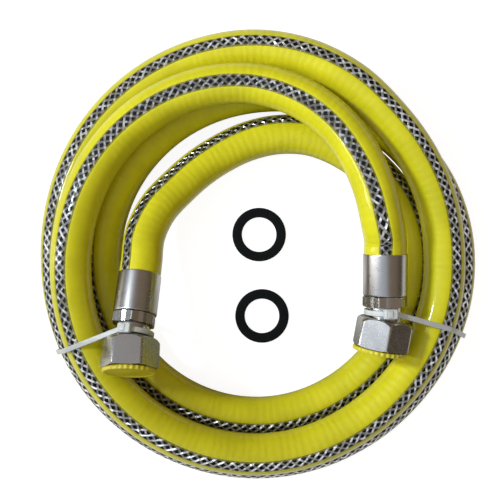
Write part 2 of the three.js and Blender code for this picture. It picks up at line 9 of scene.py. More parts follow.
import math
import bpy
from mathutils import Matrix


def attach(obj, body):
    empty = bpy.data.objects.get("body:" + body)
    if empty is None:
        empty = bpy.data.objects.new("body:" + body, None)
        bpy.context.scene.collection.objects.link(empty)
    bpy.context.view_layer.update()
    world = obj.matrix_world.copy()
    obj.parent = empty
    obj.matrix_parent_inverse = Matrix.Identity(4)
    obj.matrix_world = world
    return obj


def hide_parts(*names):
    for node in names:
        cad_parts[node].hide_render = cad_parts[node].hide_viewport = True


bl_info = {
    "name": "Coiled gas hose",
    "version": (1, 0, 0),
    "blender": (4, 5, 0),
    "location": "View3D > Sidebar > Gas hose",
    "description": "Builds a coiled gas hose with its fittings, ties and washers",
    "category": "Add Mesh",
}

import bpy
import numpy as np
from bpy.props import FloatProperty, FloatVectorProperty, IntProperty, PointerProperty
from mathutils import Vector

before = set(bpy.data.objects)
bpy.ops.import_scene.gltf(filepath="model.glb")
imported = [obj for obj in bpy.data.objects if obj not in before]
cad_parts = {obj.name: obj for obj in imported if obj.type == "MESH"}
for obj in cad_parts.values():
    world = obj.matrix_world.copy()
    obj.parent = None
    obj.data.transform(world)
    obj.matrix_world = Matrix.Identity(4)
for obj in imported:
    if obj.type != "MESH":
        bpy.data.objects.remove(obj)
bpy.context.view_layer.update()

MM = 0.001
UP = np.array([0.0, 0.0, 1.0])
TURN = 2 * math.pi

# The name of each piece's map, and the angle in degrees past which an edge is sharp
CHART = "chart"
SHARP_ANGLE = 35.0

# Hose and coil: the radius of the turn at lane 0, the distance between lanes and between layers,
# how far the coil is lifted over its span by the straps below, and the shift that centres it
HOSE_RADIUS = 10.0
COVER_BORE = 8.4
COIL_RADIUS = 80.0
PITCH = 21.0
NORTH_EDGE = COIL_RADIUS + 1.1 * PITCH
LEAN_SPAN = 150.0
STRAP_ROOM = 2.3
CENTRING = np.array([0.18, 1.33, 0.0])

# Hose line: its spans round the coil, the points on each, the straight lead behind a fitting,
# how far the cover runs on into its ferrule, and the spacing of points on cover and straps
COIL_SPANS = 82
SPAN_STEPS = 16
LEAD = 6.0
FERRULE_GRIP = 1.5
COVER_SPACING = 2.4
STRAP_SPACING = 0.8

# Stations of the coil: bearing in degrees, lane, layer, and the window's outward lean
COIL = np.array([
    [171, -1.135, 0.88, 43],
    [158, -1.20, 0.62, 43],
    [140, -1.32, 0.31, 43],
    [115, -1.27, 0.05, 44],
    [92, -1.04, 0, 46],
    [68, -0.71, 0, 44],
    [45, -0.47, 0, 42],
    [20, -0.17, 0, 38],
    [0, -0.02, 0, 34],
    [-45, 0.07, 0, 28],
    [-90, 0.16, 0, 29],
    [-135, 0.12, 0, 28],
    [-180, -0.02, 0, 34],
    [-225, -0.05, 0, 40],
    [-270, 0.10, 0, 40],
    [-292, 0.30, 0, 38],
    [-315, 0.54, 0, 36],
    [-340, 0.84, 0, 34],
    [-360, 0.985, 0, 33],
    [-405, 1.075, 0, 46],
    [-450, 1.17, 0, 60],
    [-495, 1.13, 0, 58],
    [-540, 0.99, 0, 35],
    [-585, 1.095, 0.05, 24],
    [-608, 1.095, 0.24, 20],
    [-630, 1.04, 0.50, 17],
    [-652, 0.84, 0.84, 20],
    [-675, 0.57, 1.00, 23],
    [-700, 0.524, 0.96, 25],
    [-720, 0.53, 0.91, 26],
    [-742, 0.62, 0.92, 26],
    [-765, 0.69, 0.94, 27],
    [-810, 0.85, 0.97, 27],
    [-855, 0.80, 0.97, 24],
    [-900, 0.548, 0.92, 21],
    [-945, 0.405, 0.93, 8],
    [-967, 0.286, 1.01, 2],
    [-990, 0.10, 1.10, -3],
    [-1012, -0.21, 1.33, -8],
    [-1035, -0.62, 1.66, -12],
    [-1052, -0.86, 1.81, -9],
    [-1065, -0.965, 1.845, -7],
])

# Each fitting: the end of the cover and the way the fitting points, the same for its loose nut,
# how the hexagons and the tie's head are turned, and where the tie crosses the neck and the coil
FITTINGS = {
    "a": {
        "origin": np.array([-57.020, -10.357, 37.200]),
        "axis": np.array([-0.08785, -0.94699, 0.30902]),
        "nut_origin": np.array([-59.883, -40.086, 46.904]),
        "nut_axis": np.array([-0.01818, -0.95113, 0.30826]),
        "nut_turn": 2.0,
        "hex_turn": 30.0,
        "head_turn": 76.0,
        "strap_heading": 203.0,
        "strap_place": 3.95,
    },
    "b": {
        "origin": np.array([59.771, -0.075, 46.703]),
        "axis": np.array([0.0, -0.99863, -0.05234]),
        "nut_origin": np.array([60.032, -30.856, 45.090]),
        "nut_axis": np.array([-0.17365, -0.98346, -0.05154]),
        "nut_turn": 26.0,
        "hex_turn": 53.0,
        "head_turn": 83.0,
        "strap_heading": -21.0,
        "strap_place": 2.5,
    },
}

# Places along a fitting, from the end of the cover, and its radii
FERRULE_START = 0.3
FERRULE_END = 19.7
FERRULE_LIP = 2.5
FERRULE_RADIUS = 10.4
FERRULE_MOUTH = 10.06
FERRULE_BORE = 9.2
SPIGOT_START = 6.0
HEX_START = 20.0
HEX_END = 25.0
SNAP_START = 37.0
SNAP_END = 38.2
SNAP_ROOM = 0.3
TAIL_END = 40.1
HEX_FLATS = 19.0
NECK_RADIUS = 8.0
GROOVE_RADIUS = 7.5
FACE_RADIUS = 7.2
SPIGOT_RADIUS = 5.1
GAS_WAY = 4.2

# How far the dome that cuts a hexagon's edges reaches past its sharp corners
CORNER_ROOM = 0.05

# Places along a nut, from its back, and its radii
NUT_SHELF = 3.0
UNDERCUT_END = 8.6
THREAD_END = 13.1
NUT_LENGTH = 14.3
CAP_START = 14.6
NUT_FLATS = 24.0
NUT_THROAT = 8.8
UNDERCUT_RADIUS = 10.3
THREAD_RADIUS = 9.32
THREAD_DEPTH = 0.95
NUT_MOUTH = 10.5

# Ties: the strap's half thickness and half width, the distance of its middle from what it is
# pulled round, the room it leaves beside the neck, and how far it may reach from there
STRAP_HALF_THICK = 0.5
STRAP_HALF_WIDE = 1.2
STRAP_STAND_OFF = 1.4
NECK_ROOM = 1.2
STRAP_REACH = 45.0

# Loose washers: their centres, radii and faces
WASHER_PLACES = [[0.8, 9.6], [2.3, -32.9]]
WASHER_BORE = 9.0
WASHER_RADIUS = 14.0
WASHER_FACES = (0.02, 2.5)

# Stage: the floor's half width and its drop below the hose, and the camera straight above the
# coil. Its focal length and picture are in pixels and its sensor is in millimetres.
FLOOR_HALF = 1.6
FLOOR_DROP = 0.0002
CAMERA_PLACE = (-0.0038, 0.00287, 0.461)
FOCAL_PIXELS = 879
PICTURE_PIXELS = 500
SENSOR_WIDTH = 36.0


class GasHoseSizes(bpy.types.PropertyGroup):
    """Sizes of the details that the frame leaves open, in metres"""

    window_width: FloatProperty(
        name="Window width",
        description="Width of the clear strip that shows the braid",
        default=0.006, unit="LENGTH",
    )
    bead_pitch: FloatProperty(
        name="Bead pitch",
        description="Distance between the soft ripples of the cover",
        default=0.0038, unit="LENGTH",
    )
    braid_length: FloatProperty(
        name="Braid cell length",
        description="Distance between crossings of the braid, along the hose",
        default=0.0044, unit="LENGTH",
    )
    braid_width: FloatProperty(
        name="Braid cell width",
        description="Distance between crossings of the braid, round the hose",
        default=0.0040, unit="LENGTH",
    )
    thread_pitch: FloatProperty(
        name="Thread pitch",
        description="Distance between the ridges of the nut's thread",
        default=0.001814, unit="LENGTH",
    )
    cap_teeth: IntProperty(
        name="Cap teeth",
        description="Grip teeth round each cap's rim",
        default=30, min=6,
    )


def colour_property(name, description, default):
    """A base colour that a user may change"""
    return FloatVectorProperty(
        name=name, description=description, default=default, subtype="COLOR", min=0, max=1,
    )


class GasHoseColours(bpy.types.PropertyGroup):
    """Base colours of the finishes"""

    cover: colour_property("Cover", "Yellow of the cover", (0.67, 0.595, 0.014))
    braid: colour_property("Braid", "Bright wire under the window", (0.30, 0.29, 0.275))
    ferrule: colour_property("Ferrule", "Steel of the ferrules", (0.38, 0.36, 0.34))
    plating: colour_property("Plating", "Plated steel of the nuts and hexagons", (0.43, 0.41, 0.385))
    cap: colour_property("Cap", "Yellow of the caps", (0.66, 0.55, 0.02))
    nylon: colour_property("Nylon", "Milky nylon of the ties", (0.60, 0.60, 0.55))
    rubber: colour_property("Rubber", "Black of the sealing washers", (0.002, 0.003, 0.003))


class Wire:
    """A node's output that does arithmetic: each sign adds a Math node"""

    def __init__(self, nodes, socket):
        self.nodes = nodes
        self.socket = socket

    def __add__(self, other):
        return self.nodes.math("ADD", self, other)

    def __radd__(self, other):
        return self.nodes.math("ADD", other, self)

    def __sub__(self, other):
        return self.nodes.math("SUBTRACT", self, other)

    def __rsub__(self, other):
        return self.nodes.math("SUBTRACT", other, self)

    def __mul__(self, other):
        return self.nodes.math("MULTIPLY", self, other)

    def __rmul__(self, other):
        return self.nodes.math("MULTIPLY", other, self)

    def __abs__(self):
        return self.nodes.math("ABSOLUTE", self)


class Nodes:
    """A node tree and the short ways to add nodes to it"""

    def __init__(self, tree):
        self.tree = tree

    def put(self, socket, value):
        """Links a wire to a socket, or sets the socket's own value"""
        if isinstance(value, Wire):
            self.tree.links.new(value.socket, socket)
        else:
            socket.default_value = value

    def node(self, kind, settings=None, inputs=None, output=0):
        """Adds a node: its settings first, then the values or links of its sockets"""
        node = self.tree.nodes.new(kind)
        for key, value in (settings or {}).items():
            setattr(node, key, value)
        for key, value in (inputs or {}).items():
            self.put(node.inputs[key], value)
        return Wire(self, node.outputs[output])

    def math(self, operation, *values):
        """A Math node on wires or numbers"""
        return self.node("ShaderNodeMath", {"operation": operation}, dict(enumerate(values)))

    def parts(self, vector):
        """The three numbers of a vector"""
        split = self.node("ShaderNodeSeparateXYZ", inputs={0: vector})
        return [Wire(self, socket) for socket in split.socket.node.outputs]

    def blend(self, share, first, second):
        """Colour between two colours by a share"""
        node = self.tree.nodes.new("ShaderNodeMix")
        node.data_type = "RGBA"
        for key, value in (("Factor", share), ("A", first), ("B", second)):
            sockets = [s for s in node.inputs if s.name == key and s.enabled]
            self.put(sockets[0], value)
        return Wire(self, [s for s in node.outputs if s.enabled][0])

    def step(self, value, low, high):
        """0 below low, 1 above high, and a smooth rise between them"""
        inputs = {"Value": value, "From Min": low, "From Max": high}
        settings = {"interpolation_type": "SMOOTHSTEP"}
        return self.node("ShaderNodeMapRange", settings, inputs)


class Finish(Nodes):
    """A material with one principled shader: plain values first, which nodes may take over"""

    def __init__(self, name, colour, roughness, metallic=0.0, **constants):
        self.material = bpy.data.materials.new(name)
        self.material.use_nodes = True
        super().__init__(self.material.node_tree)
        self.shader = self.tree.nodes["Principled BSDF"]
        self.feed("Base Color", (*colour, 1.0))
        self.feed("Roughness", roughness)
        self.feed("Metallic", metallic)
        for key, value in constants.items():
            self.feed(key.replace("_", " "), value)
        self.material.diffuse_color = (*colour, 1.0)

    def feed(self, name, value):
        """Sets or links one of the shader's own sockets"""
        self.put(self.shader.inputs[name], value)

    def place(self):
        """Object coordinates"""
        return self.node("ShaderNodeTexCoord", output="Object")

    def along_and_round(self):
        """The piece's own map: metres round it, metres along it"""
        chart = self.node("ShaderNodeUVMap", {"uv_map": CHART})
        around, along, _ = self.parts(chart)
        return chart, around, along

    def noise(self, where, scale, detail=2.0, roughness=0.5):
        """Cloudy values from 0 to 1"""
        inputs = {"Vector": where, "Scale": scale, "Detail": detail, "Roughness": roughness}
        return self.node("ShaderNodeTexNoise", {"noise_dimensions": "3D"}, inputs)

    def stretched(self, where, scale):
        """Coordinates scaled by a different number each way"""
        return self.node("ShaderNodeMapping", inputs={"Vector": where, "Scale": scale})

    def relief(self, height, depth, under=None):
        """Bump of a height from 0 to 1 over a depth in metres, on top of another bump"""
        inputs = {"Height": height, "Distance": depth, "Strength": 1.0}
        if under is not None:
            inputs["Normal"] = under
        return self.node("ShaderNodeBump", inputs=inputs)


def tint(colour, factor):
    """A colour made lighter or darker, with its alpha"""
    return (*(min(1.0, channel * factor) for channel in colour), 1.0)


def cover_finish(colour, pitch):
    """Glossy yellow cover: soft ripples every pitch along the hose, faint clouds and marks"""
    made = Finish(
        "cover_yellow", colour, 0.4, Specular_IOR_Level=0.1,
        Coat_Weight=0.5, Coat_Roughness=0.08, Coat_IOR=1.38,
    )
    grain_depth, wave_depth, bead_depth = 0.000008, 0.0002, 0.00008
    chart, _, along = made.along_and_round()
    place = made.place()
    clouds = made.noise(place, 55.0, 3.0)
    scuffs = made.noise(made.stretched(chart, (900.0, 90.0, 1.0)), 1.0, 3.0)
    marks = made.step(scuffs, 0.66, 0.8)
    cloudy = made.blend(made.step(clouds, 0.3, 0.7), tint(colour, 0.92), tint(colour, 1.05))
    made.feed("Base Color", made.blend(marks * 0.3, cloudy, tint(colour, 0.55)))
    made.feed("Roughness", 0.34 + 0.14 * clouds + 0.12 * marks)
    wander = made.noise(place, 160.0, 1.0)
    beads = made.math("SINE", along * (TURN / pitch) + wander * 5.0) * 0.5 + 0.5
    grain = made.relief(made.noise(place, 2600.0, 1.0), grain_depth)
    wavy = made.relief(wander, wave_depth, grain)
    made.feed("Normal", made.relief(beads, bead_depth, wavy))
    return made.material


def window_finish(colour, cover, sizes):
    """Braid seen through a clear glossy strip: two families of flat strands that cross over
    and under each other, with black gaps between them and a cloudy edge on both sides. The
    strands are darker with painted shade where they pass under the other family, and
    scattered spots on them carry painted glints."""
    made = Finish("window_braid", colour, 0.32, 0.9, Specular_IOR_Level=0.1, Coat_Roughness=0.06)
    gap_edge, strand_edge = 0.30, 0.335
    wires_in_strand, wire_height, strand_depth = 13.0, 0.25, 0.0004
    cloudy_edge = 0.0013
    _, around, along = made.along_and_round()
    across_share = around * (1 / sizes.braid_width)
    along_share = along * (1 / sizes.braid_length)
    strands = []
    wires = []
    for sign in (1, -1):
        phase = across_share + along_share * sign
        fold = abs(made.math("FRACT", phase) - 0.5)
        strands.append(made.step(fold, gap_edge, strand_edge))
        lines = made.math("FRACT", phase * wires_in_strand)
        wires.append(abs(lines - 0.5) * 2.0)
    first, second = strands
    rising = made.math("FLOOR", across_share + along_share)
    falling = made.math("FLOOR", across_share - along_share)
    over = made.math("PINGPONG", rising + falling, 1.0)
    top_first = first * (0.6 + 0.4 * over)
    top_second = second * (1.0 - 0.4 * over)
    height = made.math("MAXIMUM", top_first, top_second)
    wire = wires[0] * first + wires[1] * (1 - first) * second
    wire = made.math("MULTIPLY_ADD", wire, wire_height, height)
    covered = made.math("MAXIMUM", first, second)
    # Painted shade: strands darker where they pass under the other family and lighter where they lie
    # on top
    shade = made.blend(height, tint(colour, 0.3), tint(colour, 1.2))
    # Painted glints: near-white highlights painted on scattered spots of the strands, where a noise
    # picks them
    spots = made.noise(made.place(), 420.0, 1.0)
    painted_glints = [
        strand * made.step(spots, low, low + 0.1) for strand, low in ((first, 0.47), (second, 0.56))
    ]
    painted_glint = made.math("MAXIMUM", *painted_glints)
    lit = made.blend(painted_glint * 0.9, shade, (0.95, 0.96, 0.96, 1.0))
    metal = made.blend(covered, (0.002, 0.002, 0.002, 1.0), lit)
    half = 0.5 * sizes.window_width
    edge = made.step(abs(around), half - cloudy_edge, half)
    made.feed("Base Color", made.blend(edge * 0.75, metal, tint(cover, 0.45)))
    made.feed("Metallic", covered * (1 - edge) * 0.95)
    made.feed("Roughness", 0.5 - 0.2 * covered)
    made.feed("Coat Weight", 0.08 + 0.4 * covered)
    made.feed("Normal", made.relief(wire, strand_depth))
    return made.material


def steel_finish(name, colour, roughness, mottle):
    """Plated steel: fine turning lines round the piece and a speckle that dulls it in places"""
    made = Finish(name, colour, roughness, 1.0)
    chart, _, _ = made.along_and_round()
    place = made.place()
    lines = made.noise(made.stretched(chart, (25.0, 4200.0, 1.0)), 1.0, 2.0)
    speckle = made.noise(place, 1500.0, 3.0, 0.65)
    patches = made.noise(place, 190.0, 2.0)
    dull = made.step(speckle, 0.42, 0.72)
    shade = made.blend(lines, tint(colour, 0.92), tint(colour, 1.1))
    made.feed("Base Color", made.blend(dull * mottle, shade, tint(colour, 0.74)))
    made.feed("Roughness", roughness + 0.08 * patches + 0.06 * dull)
    made.feed("Normal", made.relief(patches, 0.00001))
    return made.material


def wire_finish(colour):
    """Drawn wire: bright with a light grain"""
    made = Finish("drawn_wire", colour, 0.3, 1.0)
    grain = made.noise(made.place(), 2200.0, 2.0)
    made.feed("Roughness", 0.24 + 0.16 * grain)
    made.feed("Normal", made.relief(grain, 0.00002))
    return made.material


def cap_finish(colour):
    """Moulded cap: slightly uneven yellow with a fine grain"""
    made = Finish("cap_yellow", colour, 0.4)
    place = made.place()
    grain = made.noise(place, 1800.0, 2.0)
    cloud = made.noise(place, 120.0, 2.0)
    made.feed("Base Color", made.blend(cloud, tint(colour, 0.9), tint(colour, 1.08)))
    made.feed("Roughness", 0.34 + 0.16 * grain)
    made.feed("Normal", made.relief(grain, 0.00002))
    return made.material


def nylon_finish(colour):
    """Natural nylon: milky, with soft clouds and a fine ribbing along the strap"""
    made = Finish(
        "natural_nylon", colour, 0.32, Subsurface_Weight=0.35,
        Subsurface_Radius=(1.0, 1.0, 1.0), Subsurface_Scale=0.0012,
    )
    _, _, along = made.along_and_round()
    place = made.place()
    cloud = made.noise(place, 260.0, 2.0)
    rib_pitch, rib_depth = 0.0011, 0.00006
    ribs = abs(made.math("FRACT", along * (1 / rib_pitch)) - 0.5) * 2.0
    made.feed("Base Color", made.blend(cloud, tint(colour, 0.86), tint(colour, 1.12)))
    made.feed("Roughness", 0.25 + 0.2 * cloud)
    made.feed("Normal", made.relief(ribs, rib_depth))
    return made.material


def rubber_finish(colour):
    """Black rubber: dull, with dust in a fine grain"""
    made = Finish("black_rubber", colour, 0.55, Specular_IOR_Level=0.12)
    place = made.place()
    grain = made.noise(place, 1400.0, 3.0, 0.6)
    dust = made.step(made.noise(place, 420.0, 4.0), 0.5, 0.75)
    made.feed("Base Color", made.blend(dust, tint(colour, 0.8), tint(colour, 1.8)))
    made.feed("Roughness", 0.5 + 0.22 * grain)
    made.feed("Normal", made.relief(grain, 0.00003))
    return made.material


def added(name, data):
    """A new object of this data, linked to the scene"""
    thing = bpy.data.objects.new(name, data)
    bpy.context.scene.collection.objects.link(thing)
    return thing


def mapped(around, along):
    """Map of a grid: each column's place round the piece and each row's place along it"""
    return np.stack(np.broadcast_arrays(around[None, :], along[:, None]), axis=-1)


def unit(vectors):
    """The same directions with length 1"""
    return vectors / np.linalg.norm(vectors, axis=-1, keepdims=True)


def skin(name, points, chart, close_rows=False, ends=False):
    """Mesh of a grid of points in millimetres: columns always close round, rows close if asked,
    and the first and last rows are shut by flat faces if ends is set. chart gives each corner's
    place on the map, with one more column, and one more row where rows close."""
    rows, columns = points.shape[:2]
    row, column = np.meshgrid(
        np.arange(rows if close_rows else rows - 1), np.arange(columns), indexing="ij",
    )
    row, column = row.ravel(), column.ravel()
    next_row, next_column = (row + 1) % rows, (column + 1) % columns
    corners = [(row, column), (row, next_column), (next_row, next_column), (next_row, column)]
    quads = np.stack([r * columns + c for r, c in corners], axis=1)
    ahead = [(row, column), (row, column + 1), (row + 1, column + 1), (row + 1, column)]
    spots = np.stack([chart[r, c] for r, c in ahead], axis=1).reshape(-1, 2)
    faces = quads.tolist()
    if ends:
        first = np.arange(columns)[::-1]
        last = np.arange(columns) + (rows - 1) * columns
        faces += [first.tolist(), last.tolist()]
        spots = np.concatenate([spots, chart[0, first], chart[rows - 1, :columns]])
    mesh = bpy.data.meshes.new(name)
    mesh.from_pydata((points.reshape(-1, 3) * MM).tolist(), [], faces)
    layer = mesh.uv_layers.new(name=CHART)
    layer.data.foreach_set("uv", (spots * MM).astype(np.float32).ravel())
    mesh.polygons.foreach_set("use_smooth", np.ones(len(faces), bool))
    mesh.validate()
    mesh.update()
    return added(name, mesh)


def finish_piece(piece, material, body, nodes=()):
    """Gives a piece its material and shading, and ties it to the frame"""
    piece.data.materials.append(material)
    piece.data.set_sharp_from_angle(angle=math.radians(SHARP_ANGLE))
    if nodes:
        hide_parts(*nodes)
    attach(piece, body)


def rounded(corners, cut, steps):
    """A closed outline with its corners rounded: each becomes a quadratic arc that starts and
    ends a cut away from it, or at a third of a shorter side"""
    corners = np.asarray(corners, float)
    ahead = np.roll(corners, -1, axis=0) - corners
    length = np.linalg.norm(ahead, axis=1, keepdims=True)
    out = np.minimum(cut, length / 3) * ahead / length
    back = -np.roll(out, 1, axis=0)
    t = np.linspace(0, 1, steps)[None, :, None]
    start, middle, end = (corners + back)[:, None], corners[:, None], (corners + out)[:, None]
    arcs = (1 - t) ** 2 * start + 2 * t * (1 - t) * middle + t ** 2 * end
    return arcs.reshape(-1, corners.shape[1])


def between_stations(bearing):
    """Lane, layer and lean at falling bearings: a cubic through the stations whose slope at each
    one is that of the chord over its two neighbours"""
    x = -COIL[:, 0]
    v = COIL[:, 1:]
    t = -bearing
    i = np.clip(np.searchsorted(x, t, side="right"), 1, len(x) - 1)
    before = np.where(i - 2 >= 0, i - 2, i)
    after = np.where(i + 1 < len(x), i + 1, i - 1)
    half = (x[i] - x[i - 1]) / 2
    low = half / (x[i - 1] - x[before])
    high = half / (x[after] - x[i])
    p = (t - x[i - 1]) / (x[i] - x[i - 1])
    weights = [
        -low * p ** 3 + 2 * low * p ** 2 - low * p,
        (1 + low) * p ** 3 + (-1.5 - 2 * low) * p ** 2 + (-0.5 + low) * p + 1,
        (-1 - high) * p ** 3 + (1.5 + high) * p ** 2 + 0.5 * p,
        high * p ** 3 - high * p ** 2,
    ]
    picked = [v[before], v[i - 1], v[i], v[after]]
    return sum(w[:, None] * value for w, value in zip(weights, picked))


def through_points(points, steps):
    """Smooth curve through points: a cubic on each span whose knots are spaced by the square
    root of the distances, which keeps it from overshooting"""
    padded = np.vstack([2 * points[0] - points[1], points, 2 * points[-1] - points[-2]])
    a, b, c, d = padded[:-3], padded[1:-2], padded[2:-1], padded[3:]
    first, middle, last = (
        np.sqrt(np.linalg.norm(q - p, axis=1, keepdims=True)) for p, q in ((a, b), (b, c), (c, d))
    )
    leave = ((b - a) / first - (c - a) / (first + middle) + (c - b) / middle) * middle
    reach = ((c - b) / middle - (d - b) / (middle + last) + (d - c) / last) * middle
    t = np.linspace(0, 1, steps, endpoint=False)[None, :, None]
    b, c, leave, reach = b[:, None], c[:, None], leave[:, None], reach[:, None]
    curve = (
        b + leave * t + (3 * (c - b) - 2 * leave - reach) * t ** 2
        + (2 * (b - c) + leave + reach) * t ** 3
    )
    return np.vstack([curve.reshape(-1, points.shape[1]), points[-1]])


def evenly(points, spacing):
    """The same line with its points a fixed distance apart, measured on the first 3 columns"""
    run = np.linalg.norm(np.diff(points[:, :3], axis=0), axis=1)
    reached = np.concatenate([[0], np.cumsum(run)])
    count = int(round(reached[-1] / spacing)) + 1
    wanted = np.linspace(0, reached[-1], count)
    columns = [np.interp(wanted, reached, points[:, k]) for k in range(points.shape[1])]
    return np.stack(columns, axis=1), wanted


def hose_line(spacing, inside=0.0):
    """Points of the hose's centre line with the window's lean, and their distance along it: the
    coil runs through its stations at falling bearings, and a straight lead joins each fitting.
    inside carries it on into both ferrules."""
    bearing = np.linspace(COIL[0, 0], COIL[-1, 0], COIL_SPANS + 1)
    lane, layer, lean = between_stations(bearing).T
    radius = COIL_RADIUS + lane * PITCH
    x = radius * np.cos(np.radians(bearing))
    y = radius * np.sin(np.radians(bearing))
    z = HOSE_RADIUS + layer * PITCH + STRAP_ROOM * (NORTH_EDGE - y) / LEAN_SPAN
    coil = np.stack([x, y, z, lean], axis=1)
    a, b = (
        [np.append(fit["origin"] + shift * fit["axis"], turn) for shift in (-LEAD, 0)]
        for fit, turn in ((FITTINGS["a"], lean[0]), (FITTINGS["b"], lean[-1]))
    )
    line = through_points(np.vstack([a[1], a[0], coil, b[0], b[1]]), SPAN_STEPS)
    if inside:
        starts, stops = (
            np.append(origin[:3] + inside * FITTINGS[letter]["axis"], origin[3])
            for letter, origin in (("a", line[0]), ("b", line[-1]))
        )
        line = np.vstack([starts, line, stops])
    line[:, :3] += CENTRING
    return evenly(line, spacing)


def carried(line, profile):
    """A profile carried along a line: at each point it stands square to the line, its first
    axis leaning outwards from straight up by the point's own angle"""
    points = line[:, :3]
    tangent = unit(np.gradient(points, axis=0))
    outward = unit(np.cross(UP, tangent))
    up = np.cross(tangent, outward)
    lean = np.radians(line[:, 3:4])
    facing = up * np.cos(lean) + outward * np.sin(lean)
    side = np.cross(tangent, facing)
    return points[:, None] + profile[:, :1] * facing[:, None] + profile[:, 1:] * side[:, None]


def polar(radius, angle):
    """X and Y of points at a radius and an angle"""
    return np.stack([radius * np.cos(angle), radius * np.sin(angle)], axis=-1)


class GASHOSE_OT_cover(bpy.types.Operator):
    """Builds the yellow cover and the clear window strip along the coil"""

    bl_idname = "gashose.cover"
    bl_label = "Cover and window"

    def execute(self, context):
        sizes = context.scene.gas_hose_sizes
        colours = context.scene.gas_hose_colours
        seam, lip_width, lip_drop = 0.06, 0.25, 0.16
        crown_height, sink = 0.08, 0.02
        line, reached = hose_line(COVER_SPACING, inside=FERRULE_GRIP)
        half = math.asin(sizes.window_width / MM / 2 / HOSE_RADIUS)
        slot = half + seam / HOSE_RADIUS
        lip = lip_width / HOSE_RADIUS
        outer = np.concatenate([
            [slot, slot + 0.4 * lip], np.linspace(slot + lip, TURN - slot - lip, 46),
            [TURN - slot - 0.4 * lip, TURN - slot],
        ])
        drop = np.zeros(len(outer))
        drop[[0, -1]] = lip_drop
        drop[[1, -2]] = lip_drop / 4
        outside = polar(HOSE_RADIUS - drop, outer)
        inside = polar(COVER_BORE, np.linspace(TURN - slot, slot, 14))
        cover = self.pulled("hose_jacket", line, reached, outside, inside)
        outer = np.linspace(-half, half, 15)
        crown = crown_height * np.abs(outer / half) ** 6
        outside = polar(HOSE_RADIUS - sink - crown, outer)
        inside = polar(COVER_BORE, np.linspace(half, -half, 7))
        window = self.pulled("hose_window", line, reached, outside, inside)
        hidden = ("hose_cover", "braid_sleeve", "inner_tube")
        yellow = cover_finish(colours.cover, sizes.bead_pitch)
        clear = window_finish(colours.braid, colours.cover, sizes)
        finish_piece(cover, yellow, "hose", hidden)
        finish_piece(window, clear, "hose", ("window_strip",))
        return {"FINISHED"}

    @staticmethod
    def pulled(name, line, reached, outside, inside):
        """A strip or slotted ring: its outline's place round the hose and its distance along
        the hose make the map"""
        profile = np.concatenate([outside, inside])
        around = np.arctan2(profile[:, 1], profile[:, 0])
        around = np.unwrap(np.append(around, around[0])) * HOSE_RADIUS
        return skin(name, carried(line, profile), mapped(around, reached), ends=True)


def fitting_frame(letter):
    """Origin, axis, side and up of a fitting"""
    fit = FITTINGS[letter]
    axis = unit(fit["axis"])
    side = unit(np.cross(axis, UP))
    return fit["origin"] + CENTRING, axis, side, np.cross(side, axis)


def nut_frame(letter):
    """Origin, axis, side and up of a nut, which leans on its neck round the fitting's way up"""
    up = fitting_frame(letter)[3]
    axis = unit(FITTINGS[letter]["nut_axis"])
    return FITTINGS[letter]["nut_origin"] + CENTRING, axis, np.cross(axis, up), up


def turned(name, placed, radius, place, close_rows=True, ends=False):
    """A surface round the axis of a placed frame: radius and place along the axis are given for
    each row of the outline and each angle, the angle running from up towards the side. Its map
    is as wide as the hose is round."""
    radius, place = np.broadcast_arrays(radius, place)
    origin, axis, side, up = placed
    angle = np.linspace(0, TURN, radius.shape[1], endpoint=False)
    ring = np.cos(angle)[:, None] * up + np.sin(angle)[:, None] * side
    points = origin + radius[..., None] * ring + place[..., None] * axis
    around = np.linspace(0, TURN, radius.shape[1] + 1) * HOSE_RADIUS
    travel = np.hypot(np.diff(radius[:, 0], append=radius[:1, 0]),
                      np.diff(place[:, 0], append=place[:1, 0]))
    travel = np.concatenate([[0], np.cumsum(travel)])[: len(radius) + int(close_rows)]
    return skin(name, points, mapped(around, travel), close_rows, ends)


def ring_rows(outline, count):
    """Rows of a plain turned outline of radius and place pairs, repeated round the axis"""
    outline = np.asarray(outline, float)
    return tuple(np.repeat(outline[:, k, None], count, axis=1) for k in (0, 1))


def hexagon(flats, turn, count):
    """Radius of a hexagon with softened corners at each angle: half its flats over a high-power
    mean of the cosines to its six faces"""
    sharpness = 70.0
    angle = np.linspace(0, TURN, count, endpoint=False) - math.radians(turn)
    faces = np.arange(6) * TURN / 6
    near = np.clip(np.cos(angle[None, :] - faces[:, None]), 1e-9, None)
    return flats / 2 / (near ** sharpness).sum(axis=0) ** (1 / sharpness)


def corner_radius(flats):
    """Radius of a hexagon's sharp corners"""
    return flats / 2 / math.cos(math.pi / 6)


def domed(start, height, low, high, wall, steps):
    """Rows of a quarter-oval shoulder that rises from the low radius at its start to the high
    one, cut off where it meets the wall"""
    share = np.clip((wall - low) / (high - low), 0, 0.9999)
    top = 1 - np.sqrt(1 - share ** 2)
    part = np.linspace(0, 1, steps)[:, None] ** 1.5 * top
    return low + (high - low) * np.sqrt(1 - (1 - part) ** 2), start + height * part


class GASHOSE_OT_ferrules(bpy.types.Operator):
    """Builds the crimped ferrules"""

    bl_idname = "gashose.ferrules"
    bl_label = "Ferrules"

    def execute(self, context):
        colours = context.scene.gas_hose_colours
        steel = steel_finish("ferrule_steel", colours.ferrule, 0.24, 0.12)
        for letter in "ab":
            outline = rounded([
                [FERRULE_MOUTH, FERRULE_START + FERRULE_LIP], [FERRULE_MOUTH, FERRULE_START],
                [FERRULE_RADIUS, FERRULE_START], [FERRULE_RADIUS, FERRULE_END],
                [FERRULE_BORE, FERRULE_END], [FERRULE_BORE, FERRULE_START + FERRULE_LIP],
            ], cut=0.7, steps=6)
            rows = ring_rows(outline, count=128)
            piece = turned(f"crimp_{letter}", fitting_frame(letter), *rows)
            finish_piece(piece, steel, "hose", (f"ferrule_{letter}",))
        return {"FINISHED"}


